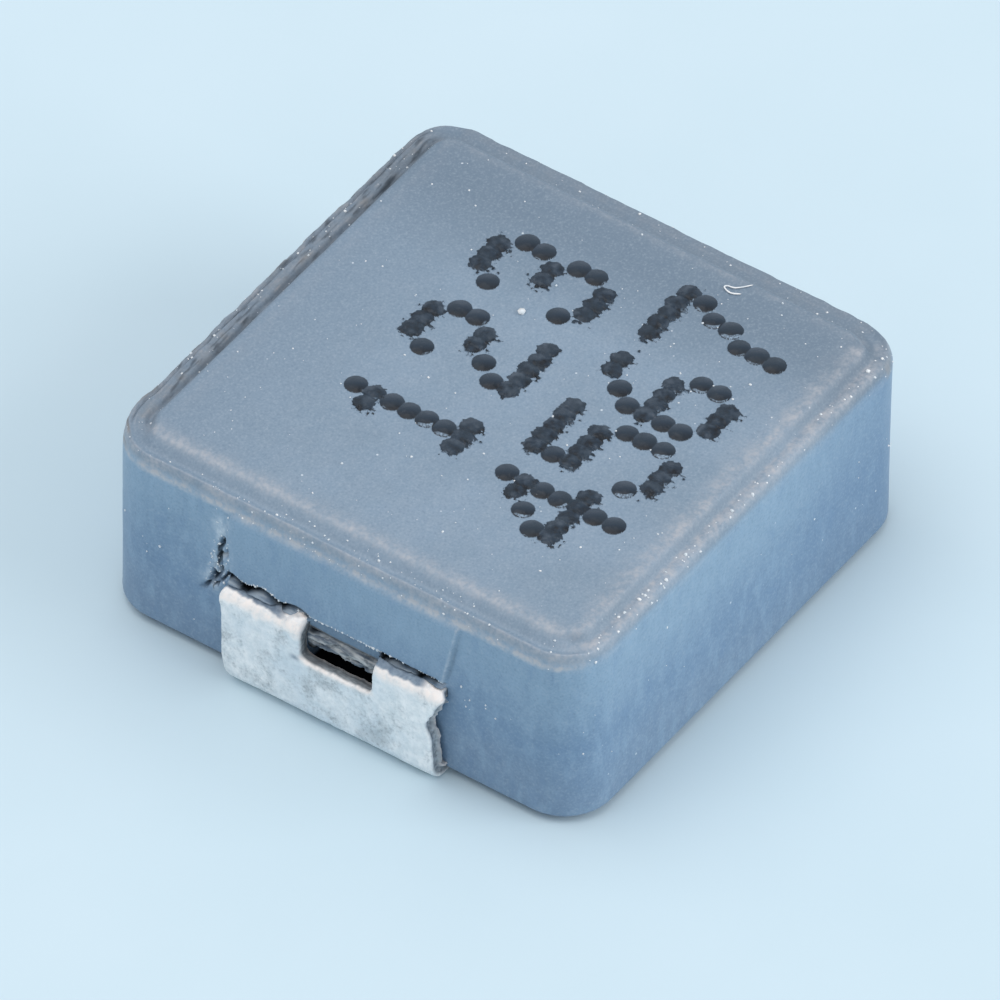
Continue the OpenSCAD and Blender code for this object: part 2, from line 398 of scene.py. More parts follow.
def block_points():
    """The block's rings as a grid of points.

    Each ring is the plan, moved in along its normal by an inset and scaled by a share of the
    plan, which closes the sheet at the middle of the top and of the underside. The end faces
    then stand out by their relief, and the +Y rim rises by its torn flash.
    """
    steps = outline_steps()
    plan, normal = block_outline(steps)
    inset, z, share = (v[:, None] + 0 * steps[None] for v in block_rows())
    plan_x, plan_y = plan.T[:, None] + 0 * inset[None]
    nx, ny = normal.T[:, None] + 0 * inset[None]
    distance = steps[None] + 0 * inset

    full = share == 1
    wall = full * smooth(BASE_Z, BASE_Z + BASE_ROUND, z) * (1 - smooth(0, 0.03, inset))
    relief = wall * on_side(abs(nx)) * end_relief(-plan_y * np.sign(nx), z, nx < 0)
    wave = 0.006 * (1 + rough(distance, z, 0.9, 41)) * wall
    ragged = 0.017 * (1 + rough(distance, z, 0.3, 42)) + 0.009 * (1 + rough(distance, z, 0.09, 40))
    ragged = ragged * np.maximum(on_side(ny), 0.7 * on_side(nx)) * smooth(2.3, 2.5, z)
    inwards = inset + wave + ragged * full * (1 - smooth(0.05, 0.2, inset)) - relief

    rim = full & (z > EDGE_Z)
    fade = 1 - smooth(0.38, 0.46, inset)
    torn = torn_rim(distance, inset) * on_side(ny) * fade
    nick = 0.010 * rough(distance, inset, 0.2, 43) * (1 - smooth(0.2, 0.4, inset))
    z = z + rim * (rim_height(inset, nx, ny) + torn + nick)
    low_edge = smooth(2.2, EDGE_Z, z) * (1 - smooth(0, 0.07, inset)) * full
    z = z - 0.05 * on_side(-nx) * low_edge
    x = (plan_x - inwards * nx) * share
    y = (plan_y - inwards * ny) * share
    return np.stack([x, y, np.minimum(z, TOP_Z)], -1)


def cutter(name, points, faces):
    """Closed mesh from points in millimetres, to be taken away from a piece."""
    mesh = bpy.data.meshes.new(name)
    mesh.from_pydata((np.asarray(points) * MM).tolist(), [], faces)
    return bpy.data.objects.new(name, mesh)


def prism(name, outline, low, high):
    """Cutter with a flat outline of (x, y) points, standing from one height to another."""
    count = len(outline)
    points = [(x, y, z) for z in (low, high) for x, y in outline]
    sides = [(i, (i + 1) % count, (i + 1) % count + count, i + count) for i in range(count)]
    caps = [tuple(range(count))[::-1], tuple(range(count, 2 * count))]
    return cutter(name, points, sides + caps)


def ring_cutter(name, inner, outer, low, high):
    """Cutter for a ring-shaped pocket: a rectangle turned once round Z."""
    turn = np.radians(np.arange(0, 360, 5))
    corners = np.array([(outer, low), (outer, high), (inner, high), (inner, low)])
    radius, z = (corners[:, k][None] + 0 * turn[:, None] for k in (0, 1))
    points = np.stack([radius * np.cos(turn)[:, None], radius * np.sin(turn)[:, None], z], -1)
    i, j = np.meshgrid(np.arange(turn.size), np.arange(4), indexing="ij")
    after, right = (i + 1) % turn.size, (j + 1) % 4
    quads = np.stack([i * 4 + j, after * 4 + j, after * 4 + right, i * 4 + right], -1)
    return cutter(name, points.reshape(-1, 3), quads.reshape(-1, 4).tolist())


def rotated_end(outline):
    """The same outline for the other end, turned half round."""
    return [(-x, -y) for x, y in outline]


def cut_away(piece, tools):
    """Subtracts each cutter from the piece's mesh, and removes the cutters."""
    for tool in tools:
        bpy.context.scene.collection.objects.link(tool)
        modifier = piece.modifiers.new(tool.name, "BOOLEAN")
        modifier.operation = "DIFFERENCE"
        modifier.solver = "EXACT"
        modifier.object = tool
    graph = bpy.context.evaluated_depsgraph_get()
    mesh = bpy.data.meshes.new_from_object(piece.evaluated_get(graph))
    piece.modifiers.clear()
    piece.data = mesh
    for tool in tools:
        bpy.data.objects.remove(tool)


def terminal_recesses():
    """Cutters for what the two strips take out of the block: a slot behind each end face,
    which stays covered behind the window, and a shallow bed in the underside."""
    half, end = STRIP_HALF_W + 0.01, BODY_HALF_X + 0.2
    low, high = WINDOW_LOW_Y, WINDOW_HIGH_Y
    inner, covered = -TAB_X + 0.01, -BODY_HALF_X + 0.16
    slot = [
        (inner, -half), (inner, half), (-end, half), (-end, high),
        (covered, high), (covered, low), (-end, low), (-end, -half),
    ]
    bed = [(-FOOT_END_X + 0.01, -half), (-FOOT_END_X + 0.01, half), (-end, half), (-end, -half)]
    slot_z = (LEAD_Z - STRIP_T - 0.01, LEAD_Z - 0.002)
    return [
        prism("slot_left", slot, *slot_z), prism("slot_right", rotated_end(slot), *slot_z),
        prism("bed_left", bed, -0.1, STRIP_T + 0.01),
        prism("bed_right", rotated_end(bed), -0.1, STRIP_T + 0.01),
    ]


def coil_pocket():
    """Cutter for the ring-shaped pocket round the winding, a little over the CAD coil."""
    low, high = node_box("coil")
    room = 0.03
    return ring_cutter("pocket", COIL_IN_R - room, TAB_X - WELD_WALL, low[2] - room, high[2] + room)


def plan_inset(x, y):
    """Distance in from the block's plan: minus the signed distance to a rounded rectangle."""
    over_x = abs(x) - (BODY_HALF_X - CORNER_R)
    over_y = abs(y) - (BODY_HALF_Y - CORNER_R)
    outside = np.hypot(np.maximum(over_x, 0), np.maximum(over_y, 0))
    return CORNER_R - outside - np.minimum(np.maximum(over_x, over_y), 0)


def stain_end(x, y, z):
    """Painted shade, painted highlight, pale rubbing and torn layers on the end faces, each from
    0 to about 1.

    Painted shade darkens the hole, the split and the shelf behind the window, the crack and
    the pits, and a painted shadow lies beside the lower part of the panel's clean edge. A
    painted highlight pales that edge, and pale rubbing the panel's foot and the beads round the
    pits. The layers show behind the window and on the flash over the shoulders.
    """
    at_end = smooth(BODY_HALF_X - 0.5, BODY_HALF_X - 0.46, abs(x)) * (z < EDGE_Z - 0.05)
    end_y, worn = -y * np.sign(x), x < 0
    window, strip = over_window(end_y), over_strip(end_y)
    # Painted shade in the crack, the pits, and the hole, split and shelf behind the window; a painted
    # shadow beside the panel's clean edge.
    crack = 1.5 * crack_share(end_y, z, 0.03) * worn
    pits = 0.95 * pit_share(end_y, z) * worn
    hole = between(z, 0.68, 0.74, HOLE_TOP_Z - 0.02, HOLE_TOP_Z + 0.01)
    split = bump(z, split_z(end_y), 0.018)
    shelf = 0.3 * between(z, SPLIT_Z + 0.01, SPLIT_Z + 0.03, PANEL_Z - 0.03, PANEL_Z)
    clean_edge = panel_right_edge(z)
    shadow = 0.22 * bump(end_y, clean_edge - 0.045, 0.022) * between(z, PANEL_Z, 1.6, 1.9, 2.4)
    shade_and_marks = np.clip(crack + pits + (hole + split + shelf) * window + shadow, 0, 1)

    foot = panel_foot(end_y, worn)
    broken = 0.35 + 0.65 * smooth(-0.3, 0.2, rough(y, z, 0.05, 44))
    # A pale line at the panel's foot, and a painted highlight along the panel's clean edge.
    line = 1.3 * bump(z, foot + 0.014, 0.013) * strip * broken
    line = (line + bump(end_y, clean_edge, 0.014) * (z > PANEL_Z)) * (z > LEAD_Z)
    beads = bump(end_y, pit_line(z), 0.13) * between(z, 1.02, 1.12, 2.2, 2.45)
    beads = beads * (0.35 + 0.65 * smooth(-0.2, 0.3, rough(y, z, 0.07, 38))) * worn
    rub_and_highlight = 0.9 * line * (abs(x) > BODY_HALF_X) + 1.5 * beads

    layers = window * between(z, HOLE_TOP_Z - 0.08, HOLE_TOP_Z - 0.05, SPLIT_Z - 0.03, SPLIT_Z + 0.01)
    lip = 0.55 * (strip - window) * between(z, 1.36, 1.40, foot - 0.01, foot)
    return shade_and_marks * at_end, rub_and_highlight * at_end, np.clip(layers + lip, 0, 1) * at_end


def stain_rim(x, y, z):
    """Dark marks with painted shade, brown flash, and pale rubbing with painted highlights on the
    rim, each from 0 to about 1.

    The +Y and +X sides carry the moulding's torn flash: a brown edge, a darkened groove and
    fine drawn lines, with crumbs by the -X corner. The -X and -Y sides carry painted highlights,
    partly rubbing, along their edge and along the crest of the step, and painted shade lies on
    the -Y side's step slope.
    """
    inset = plan_inset(x, y)
    rim = smooth(EDGE_Z - 0.08, EDGE_Z - 0.03, z)
    side_y = abs(y) > BODY_HALF_Y - 0.5
    ends = 1 - smooth(2.75, 3.15, np.where(side_y, abs(x), abs(y)))
    plus_y = smooth(BODY_HALF_Y - 0.52, BODY_HALF_Y - 0.46, y) * ends
    plus_x = smooth(BODY_HALF_X - 0.6, BODY_HALF_X - 0.5, x) * ends
    minus_y = smooth(BODY_HALF_Y - 0.7, BODY_HALF_Y - 0.5, -y) * (1 - smooth(2.9, 3.2, abs(x)))
    minus_x = smooth(BODY_HALF_X - 0.8, BODY_HALF_X - 0.6, -x) * (1 - smooth(2.9, 3.2, abs(y)))
    far = np.maximum(plus_y, plus_x)

    groove = 0.325 + 0.03 * rough(x, 0, 0.5, 15)
    rim_shade_and_marks = 0.4 * bump(inset, groove, 0.055) * smooth(-0.7, 0.3, rough(x, inset, 0.5, 17))
    over = inset - np.maximum(EDGE_Z - z, 0) + 0.012 * rough(x, 0, 0.5, 19)
    drawn = rough(x * 0.14, over, 0.024, 18, 2)
    lined = plus_y * (1 - smooth(0.26, 0.34, inset)) * smooth(EDGE_Z - 0.03, EDGE_Z, z)
    rim_shade_and_marks = rim_shade_and_marks + 0.08 * lined + 0.45 * smooth(0.05, 0.6, -drawn) * lined
    # Painted shade on the -Y side's step slope, added to the darkening of the +Y groove and flash.
    rim_shade_and_marks = rim_shade_and_marks * (1 - smooth(2.1, 2.9, -x)) * plus_y + 0.10 * minus_y * bump(inset, 0.265, 0.05)
    corner = smooth(1.6, 2.4, -x) * smooth(BODY_HALF_Y - 0.35, BODY_HALF_Y - 0.2, y) * rim
    crumbs = corner * bump(inset, 0.02, 0.07) * smooth(-0.4, 0.1, rough(x - y, inset + z, 0.07, 47))
    chips = 0.6 * crumbs * smooth(0.0, 0.4, rough(x - y, inset + z, 0.05, 51))

    edge = 1.6 * bump(inset, 0.0, 0.045) * (z > EDGE_Z - 0.02) + 0.3 * (1 - smooth(0.34, 0.42, inset))
    edge = edge + 0.4 * bump(inset, 0.21, 0.04) * smooth(-0.2, 0.4, rough(x, inset, 0.3, 16))
    flash = np.maximum(np.maximum(plus_y, 0.4 * plus_x) * rim * edge, 1.2 * crumbs)

    # Painted highlights, partly rubbing, on the rim's crests, its outer edge and the edge of the top face.
    thin = 0.5 * (1 - smooth(0.03, 0.06, inset)) + 0.7 * bump(inset, 0.055, 0.02)
    thin = thin + 0.5 * bump(inset, 0.0, 0.015)
    broad = between(inset, 0.0, 0.12, 0.19, 0.25) + 0.3 * bump(inset, -0.01, 0.02)
    crest = 0.345 - 0.035 * minus_x
    top = np.where(inset > crest, bump(inset, crest, 0.15 - 0.03 * minus_x), bump(inset, crest, 0.05))
    near_rub_and_highlight = thin * (1 - minus_y) + broad * minus_y + 0.85 * top
    far_rub_and_highlight = 0.45 * bump(inset, 0.035, 0.025) + 0.4 * plus_x * (
        bump(inset, 0.37, 0.02) + bump(inset, 0.45, 0.02) + 0.5 * bump(inset, 0.17, 0.02))
    rub_and_highlight = near_rub_and_highlight * (1 - far) + far_rub_and_highlight * far + 0.7 * smooth(0.1, 0.7, drawn) * lined
    ledge = 1.1 * bump(z, 2.47, 0.04) * minus_x * (inset < 0.05)
    return rim_shade_and_marks * rim + chips, flash, rub_and_highlight * rim + ledge


def stain_block(piece):
    """Stores painted shade and dark marks, flash, rubbing with painted highlights, and tears."""
    x, y, z = surface_points(piece).T
    end_painted_shade, end_rub_and_highlight, torn = stain_end(x, y, z)
    rim_shade_marks_and_chips, flash, rim_rub_and_highlight = stain_rim(x, y, z)
    paint(piece, "shade_and_marks", np.clip(rim_shade_marks_and_chips + end_painted_shade, 0, 1))
    paint(piece, "flash", flash)
    paint(piece, "rub_and_highlight", rim_rub_and_highlight + end_rub_and_highlight)
    paint(piece, "torn", torn)


def close_mesh(piece):
    """Merges the rings that shrink to a point, and turns all faces outwards."""
    work = bmesh.new()
    work.from_mesh(piece.data)
    bmesh.ops.remove_doubles(work, verts=work.verts, dist=1e-8)
    bmesh.ops.dissolve_degenerate(work, edges=work.edges, dist=1e-9)
    bmesh.ops.recalc_face_normals(work, faces=work.faces)
    work.to_mesh(piece.data)
    work.free()
    piece.data.update()


def pressed_block(material):
    """The block: its outer sheet, less the recesses for the strips and the coil."""
    points = block_points()
    quads = grid_quads(*points.shape[:2], closed=True)
    piece = add_piece("pressed_block", points.reshape(-1, 3), quads, material)
    close_mesh(piece)
    cut_away(piece, terminal_recesses() + [coil_pocket()])
    stain_block(piece)
    return piece


# ---------------------------------------------------------------- terminals


def strip_path(along):
    """Point and outward normal on a strip's side view: tab, bend, face, bend and foot."""
    bend_x, turn = FACE_X - FOLD_OUT_R, np.pi * FOLD_OUT_R / 2
    high, low = LEAD_Z - FOLD_OUT_R, FOLD_OUT_R
    lengths = [bend_x - TAB_X, turn, high - low, turn, bend_x - FOOT_END_X]
    centres = [
        (-TAB_X, high), (-bend_x, high), (-bend_x, high), (-bend_x, low), (-bend_x, low),
        (-FOOT_END_X, low),
    ]
    return rounded_path(along, lengths, centres, [90, 90, 180, 180, 270, 270], FOLD_OUT_R)


def strip_marks():
    """Distances along a strip to its end face, upper bend, flat face, window's lower edge,
    lower bend, foot and far end."""
    bend_x, turn = FACE_X - FOLD_OUT_R, np.pi * FOLD_OUT_R / 2
    top_bend = bend_x - TAB_X
    face = top_bend + turn
    window = face + LEAD_Z - FOLD_OUT_R - WINDOW_Z
    low_bend = face + LEAD_Z - 2 * FOLD_OUT_R
    foot = low_bend + turn
    return BODY_HALF_X - TAB_X, top_bend, face, window, low_bend, foot, foot + bend_x - FOOT_END_X


def worn_edges(along):
    """The worn strip's two side edges along its length. The -Y edge swells over the upper
    bend and is nipped in under it, and both are drawn in a little at the lower bend."""
    wall, _, face, _, low_bend, _, _ = strip_marks()
    out = smooth(wall, wall + 0.02, along)
    swell = 0.07 * bump(along, face - 0.17, 0.11)
    waist = 0.10 * bump(along, face + 0.32, 0.16) + 0.06 * bump(along, face + 0.6, 0.45)
    ragged = 0.010 * rough(along, 0, 0.10, 51) * (1 + 2 * bump(along, face + 0.15, 0.15))
    minus = -STRIP_HALF_W + out * (waist - swell + ragged)
    plus = STRIP_HALF_W - 0.09 * bump(along, low_bend + 0.22, 0.24)
    plus = plus - out * 0.006 * (1 + rough(along, 0, 0.14, 52))
    plus = plus + out * 0.04 * bump(along, face - 0.1, 0.16)
    return minus, plus


def plain_edges(along):
    """A plain strip's two side edges."""
    return -STRIP_HALF_W + 0 * along, STRIP_HALF_W + 0 * along


def window_gap(along, y):
    """Signed distance from the window in a strip's flat pattern, above 0 on the metal. The
    window is a rectangle with rounded corners, as its punch leaves them."""
    wall, _, _, window, _, _, _ = strip_marks()
    over_along = np.maximum(wall - along, along - window) + WINDOW_CORNER_R
    over_across = abs(y - WINDOW_MID_Y) - WINDOW_W / 2 + WINDOW_CORNER_R
    outside = np.hypot(np.maximum(over_along, 0), np.maximum(over_across, 0))
    return outside + np.minimum(np.maximum(over_along, over_across), 0) - WINDOW_CORNER_R


def strip_rows():
    """Distances along a strip, close together from its end face to its foot."""
    wall, _, face, window, _, foot, end = strip_marks()
    return evenly([
        (wall, 0.06), (face, 0.0125), (window, 0.0135), (foot, 0.015), (end - 0.04, 0.08), (end, 0.01),
    ])


def strip_columns():
    """Shares 0..3 across a strip: one unit for each shoulder and one for the window."""
    edge = np.array([0, 0.006, 0.013, 0.021, 0.031])
    shoulder = np.linspace(0.045, 1, 56)
    return np.concatenate([edge, shoulder, np.linspace(1, 2, 62)[1:-1], 3 - shoulder[::-1], 3 - edge[::-1]])


def blob_share(along, y):
    """1 on the lump of metal pushed up at the inner corner of the +Y shoulder, fading off."""
    _, top_bend, _, _, _, _, _ = strip_marks()
    inner = WINDOW_HIGH_Y + 0.12
    uneven = 1 + 0.45 * rough(along, y, 0.10, 69)
    return bump(y, inner, 0.14) * bump(along, top_bend + 0.07, 0.19) * uneven


def sunk_by(along, y):
    """How far the worn strip's outer surface lies under its true form: shallow dents, a fine
    orange peel, crazing over the bend, less the lump at the shoulder's corner."""
    _, top_bend, face, _, _, _, _ = strip_marks()
    broad = 0.009 * (1 + rough(along, y, 0.6, 62)) + 0.004 * (1 + rough(along, y, 0.1, 63))
    bend = between(along, top_bend - 0.1, top_bend + 0.08, face, face + 0.12)
    crazed = 0.006 * (1 + rough(along * 0.6, y, 0.05, 64)) * bend
    return broad + crazed - 0.06 * blob_share(along, y)


def boundary_edges(quads, count):
    """Directed edges that only one face uses, as pairs of point numbers."""
    edges = np.concatenate([quads[:, [k, (k + 1) % 4]] for k in range(4)])
    key = edges[:, 0] * count + edges[:, 1]
    back = edges[:, 1] * count + edges[:, 0]
    return edges[~np.isin(key, back)]


def sheet_faces(quads, count, layers):
    """Faces of a sheet with thickness.

    Points are stored layer by layer from the outer surface to the inner one. The outer and
    inner layers take every cell, and each open edge takes one wall cell between layers.
    """
    edges = boundary_edges(quads, count)
    walls = [
        np.stack([
            edges[:, 1] + k * count, edges[:, 0] + k * count,
            edges[:, 0] + (k + 1) * count, edges[:, 1] + (k + 1) * count,
        ], -1)
        for k in range(layers - 1)
    ]
    return np.concatenate([quads, quads[:, ::-1] + (layers - 1) * count] + walls)


def strip_sheet(name, material, worn, turned):
    """A folded strip with its window, as a sheet of metal with thickness.

    The outer surface runs along the folded side view and across between the side edges. It
    sinks by its dents and rolls over near every edge, and the inner surface lies one
    thickness under it. A cell whose middle falls in the window is left out.
    """
    rows, columns = strip_rows(), strip_columns()
    along, share = np.meshgrid(rows, columns, indexing="ij")
    wall, _, face, window, _, _, end = strip_marks()
    minus, plus = worn_edges(along) if worn else plain_edges(along)
    round_off = np.clip((along - window) / WINDOW_CORNER_R + 1, 0, 1)
    round_off = WINDOW_CORNER_R * (1 - np.sqrt(1 - round_off**2)) * smooth(window + 0.15, window, along)
    low, high = WINDOW_LOW_Y + round_off, WINDOW_HIGH_Y - round_off
    y = np.where(share < 1, minus + (low - minus) * share, low + (high - low) * (share - 1))
    y = np.where(share > 2, high + (plus - high) * (share - 2), y)

    gap = window_gap(along, y)
    near_window = bump(gap, 0, 0.05)
    in_or_under = smooth(WINDOW_W / 2 + 0.03, WINDOW_W / 2 - 0.03, abs(y - WINDOW_MID_Y))
    torn = along + worn * 0.02 * rough(y, 0, 0.08, 53) * bump(along, window, 0.05) * in_or_under
    side_wear = worn * 0.018 * rough(along, 0, 0.11, 54) * near_window * (1 - in_or_under)
    y = y + side_wear * (along > wall) * (along < window)
    place, normal = strip_path(torn)

    from_edge = np.minimum(np.minimum(y - minus, plus - y), np.minimum(abs(gap), end - along))
    from_edge = np.where(along < wall - 0.05, 1, from_edge)
    roll = 0.04 if worn else 0.02
    near = np.clip(1 - np.maximum(from_edge, 0) / roll, 0, 1)
    sink = sunk_by(along, y) if worn else 0.003 * (1 + rough(along, y, 0.3, 61))
    sink = sink + roll * (1 - np.sqrt(1 - near**2)) * 0.8

    layers = 5
    depth = np.linspace(0, 1, layers)[:, None, None]
    offset = sink[None] * (1 - depth) + STRIP_T * depth
    x = np.maximum(place[..., 0][None] - offset * normal[..., 0][None], -FACE_X + 0.0005)
    z = np.maximum(place[..., 1][None] - offset * normal[..., 1][None], 0.0005)
    burr = worn * (depth == 1) * (share == 0) * (0.03 + 0.012 * rough(along, 0, 0.06, 66))
    hollow = worn * 0.02 * np.sin(np.pi * depth) * (share == 0)
    on_face = smooth(face - 0.05, face + 0.1, along)
    y = y[None] + (hollow - burr) * on_face
    points = np.stack([-x, -y, z] if turned else [x, y, z], -1).reshape(-1, 3)

    count = along.size
    quads = grid_quads(rows.size, columns.size, closed=False)
    centre_along, centre_share = along.ravel()[quads].mean(1), share.ravel()[quads].mean(1)
    open_cell = (abs(centre_share - 1.5) < 0.5) & (centre_along > wall) & (centre_along < window)
    faces = sheet_faces(quads[~open_cell], count, layers)
    used = np.unique(faces)
    renumber = np.zeros(count * layers, int)
    renumber[used] = np.arange(used.size)
    piece = add_piece(name, points[used], renumber[faces], material)

    bend = smooth(face + 0.0, face - 0.12, along + 0.06 * rough(along, y[0], 0.2, 91))
    reach = wall + 0.15 + 0.05 * rough(y[0], 0, 0.3, 92) + 0.02 * rough(y[0], 0, 0.06, 93)
    clear = np.maximum(smooth(0.62, 0.54, abs(y[0] - 0.05)), 2.2 * blob_share(along, y[0]))
    clear = np.maximum(clear, smooth(-1.2, -1.32, y[0]))
    smear = smooth(reach + 0.02, reach - 0.02, along) * (1 - np.clip(clear, 0, 1))
    chip = bump(y[0], WINDOW_HIGH_Y + 0.06, 0.06) * bump(along, window - 0.01, 0.04)
    smear = np.maximum(smear, 0.9 * chip) * worn
    bend = np.maximum(bend, 0.9 * worn * bump(gap, 0.01, 0.035) * smooth(window - 0.1, window, along))
    cut = (depth > 0.1) * (depth < 0.9) * (1 + 0 * along[None])
    shaded = cut * (0.55 * smooth(0.3, 0.8, depth) * near_window[None])
    outer = (depth < 0.9) + 0 * along[None]
    # The bend's whitening holds crazing with a painted highlight, and a painted highlight on the worn
    # strip's burr line.
    paint(piece, "bend", (np.maximum(bend, burr * 20) + 0 * depth).ravel()[used])
    paint(piece, "smear", (smear[None] * outer).ravel()[used])
    paint(piece, "sheared", cut.astype(float).ravel()[used])
    paint(piece, "shaded", shaded.ravel()[used])
    close_mesh(piece)
    return piece


# ---------------------------------------------------------------- ink marking

FIGURES = {
    1: ["..#..", ".##..", "..#..", "..#..", "..#..", "..#..", ".###."],
    2: [".###.", "#...#", "....#", "..##.", ".#...", "#....", "#####"],
    3: [".###.", "#...#", "....#", "..##.", "....#", "#...#", ".###."],
    4: ["...#.", "..##.", ".#.#.", "#..#.", "#####", "...#.", "...#."],
    5: ["#####", "#....", "####.", "....#", "....#", "#...#", ".###."],
    6: ["..##.", ".#...", "#....", "####.", "#...#", "#...#", ".###."],
    7: ["#####", "....#", "...#.", "...#.", "..#..", "..#..", "..#.."],
}


def dots_of(figure, x, y):
    """Dots of one figure about its middle: x, y and whether a dot has a neighbour in its row."""
    found = []
    for row, line in enumerate(FIGURES[figure]):
        for column, mark in enumerate(line):
            if mark == "#":
                joined = "#" in line[max(column - 1, 0):column] + line[column + 1:column + 2]
                place = (x + (column - 2) * DOT_STEP_X, y + (3 - row) * DOT_STEP_Y)
                found.append((*place, joined))
    return found


def line_of_dots(figures, step, middle_x, y):
    """Dots of a line of figures, spaced evenly about its middle."""
    first = middle_x - step * (len(figures) - 1) / 2
    return [dot for k, figure in enumerate(figures) for dot in dots_of(figure, first + k * step, y)]


def ink_dots():
    """Every dot of the marking: x, y, whether it runs into a neighbour, and its radius."""
    middle_x = (ink_low[0] + ink_high[0]) / 2
    reach = 3 * DOT_STEP_Y + DOT_R
    upper, lower = ink_high[1] - reach, ink_low[1] + reach
    dots = line_of_dots([1, 2, 3], UPPER_STEP, middle_x, upper)
    dots += line_of_dots([4, 5, 6, 7], LOWER_STEP, middle_x, lower)
    rng = np.random.default_rng(71)
    dots = np.array([(x, y, joined, DOT_R) for x, y, joined in dots], float)
    dots[:, :2] += rng.normal(0, 0.006, (len(dots), 2))
    dots[:, 3] += rng.normal(0, 0.003, len(dots))
    count = 34
    drops = dots[rng.choice(np.flatnonzero(dots[:, 2]), count)]
    angle = rng.uniform(0, 2 * np.pi, count)
    away = rng.uniform(0.15, 0.21, count) + 0.09 * (rng.uniform(0, 1, count) > 0.8)
    size = rng.uniform(0.012, 0.027, count)
    stray = [drops[:, 0] + away * np.cos(angle), drops[:, 1] + away * np.sin(angle), 0 * away, size]
    return np.concatenate([dots, np.stack(stray, -1)])


def ink_field(x, y):
    """Depth inside the ink's outline at each point, how thick the ink is there, how far up a
    dot's dome it is, and how far towards the -X -Y side of the dot, which carries painted shade
    while its other side carries a painted highlight.

    Each dot is a disc. Dots that run into a neighbour are lumpy at the edge, most of all on
    their -X and -Y sides, where the ink has run out in short fingers. Single dots stay round.
    The +X upper part of a dot is full, and a thin crescent at its lower -X edge is worn.
    """
    depth = np.full(x.shape, -1.0)
    cover = np.zeros(x.shape)
    dome, dome_shade = np.zeros(x.shape), np.zeros(x.shape)
    lumps = 0.022 * rough(x, y, 0.055, 73) + 0.012 * rough(x, y, 0.16, 76)
    fingers = np.maximum(rough(x * 1.5, y, 0.052, 72, 2), 0) * 0.12 - 0.014
    soft = 0.004 * rough(x, y, 0.09, 74)
    streaky = 0.5 + 0.5 * rough(x, y, 0.35, 77)
    blotchy = rough(x, y, 0.08, 78)
    for dot_x, dot_y, joined, radius in ink_dots():
        near = (abs(x - dot_x) < radius + 0.14) & (abs(y - dot_y) < radius + 0.14)
        dx, dy = x[near] - dot_x, y[near] - dot_y
        lower = -(dx * 0.83 + dy * 0.56)
        run_out = (0.25 + 0.75 * smooth(-0.06, 0.10, lower)) * fingers[near] + lumps[near]
        edge = (run_out if joined else soft[near]) * (radius > 0.1)
        inside = radius - np.hypot(dx, dy) + edge
        band = 0.035 + 0.045 * smooth(0.45, 0.8, streaky[near])
        crescent = smooth(band, band - 0.03, inside) * smooth(0.03, 0.10, lower) * (radius > 0.1)
        worn = crescent * (0.45 + 0.75 * streaky[near]) * (1 - 0.4 * joined)
        worn = worn * smooth(0.010, 0.020, inside)
        full = smooth(0, 0.012, inside) * (1 - 0.8 * np.clip(worn, 0, 1))
        cap = np.clip(inside / radius, 0, 1)
        higher = inside > depth[near]
        # Painted shade on each dot's -X -Y side and a painted highlight on the other, blotchy on joined
        # dots.
        side = (0.5 - 0.28 * joined) * lower / radius + 0.45 * joined * blotchy[near]
        dome_shade[near] = np.where(higher, np.clip(0.5 + side, 0, 1), dome_shade[near])
        depth[near] = np.where(higher, inside, depth[near])
        cover[near] = np.maximum(cover[near], full)
        dome[near] = 1 - (1 - dome[near]) * (1 - cap) ** 2
    return depth, cover, dome, dome_shade


def ink_marking(material):
    """The dried ink: a low domed sheet on the top face, closed underneath.

    The sheet is a fine grid. Cells outside the outline are left out, and points just outside
    it are pulled on to it along the depth's slope. Height climbs over each dot as a shallow
    dome, 1 - (1 - share of the radius)^2, and a lumpy crinkle lies on top.
    """
    step = 0.0125
    xs = np.arange(ink_low[0] - 0.12, ink_high[0] + 0.12, step)
    ys = np.arange(ink_low[1] - 0.12, ink_high[1] + 0.12, step)
    x, y = np.meshgrid(xs, ys, indexing="ij")
    depth, cover, dome, dome_shade = ink_field(x, y)
    slope_x, slope_y = np.gradient(depth, step)
    steep = np.maximum(slope_x**2 + slope_y**2, 0.2)
    out = (depth < 0) & (depth > -0.03)
    pull = np.where(out, np.maximum(depth / steep, -step * 1.4), 0)
    x, y = x - pull * slope_x, y - pull * slope_y
    lumpy = 0.12 * rough(x, y, 0.06, 75) * np.clip(depth / 0.05, 0, 1)
    height = INK_T * np.clip(0.8 * dome + lumpy, 0, 0.98)

    quads = grid_quads(*x.shape, closed=False)
    kept = quads[(depth.ravel()[quads] > 0).any(1)]
    count = x.size
    top = np.stack([x, y, TOP_Z + 0.0004 + height], -1).reshape(-1, 3)
    under = np.stack([x, y, TOP_Z - 0.004 + 0 * height], -1).reshape(-1, 3)
    faces = sheet_faces(kept, count, 2)
    used = np.unique(faces)
    renumber = np.zeros(2 * count, int)
    renumber[used] = np.arange(used.size)
    piece = add_piece("ink_marking_dots", np.concatenate([top, under])[used], renumber[faces], material)
    paint(piece, "cover", np.tile(cover.ravel(), 2)[used])
    paint(piece, "dome_shade", np.tile(dome_shade.ravel(), 2)[used])
    paint(piece, "dome", np.concatenate([(dome + 2 * lumpy).ravel(), 0 * dome.ravel()])[used])
    close_mesh(piece)
    return piece


# ---------------------------------------------------------------- dust


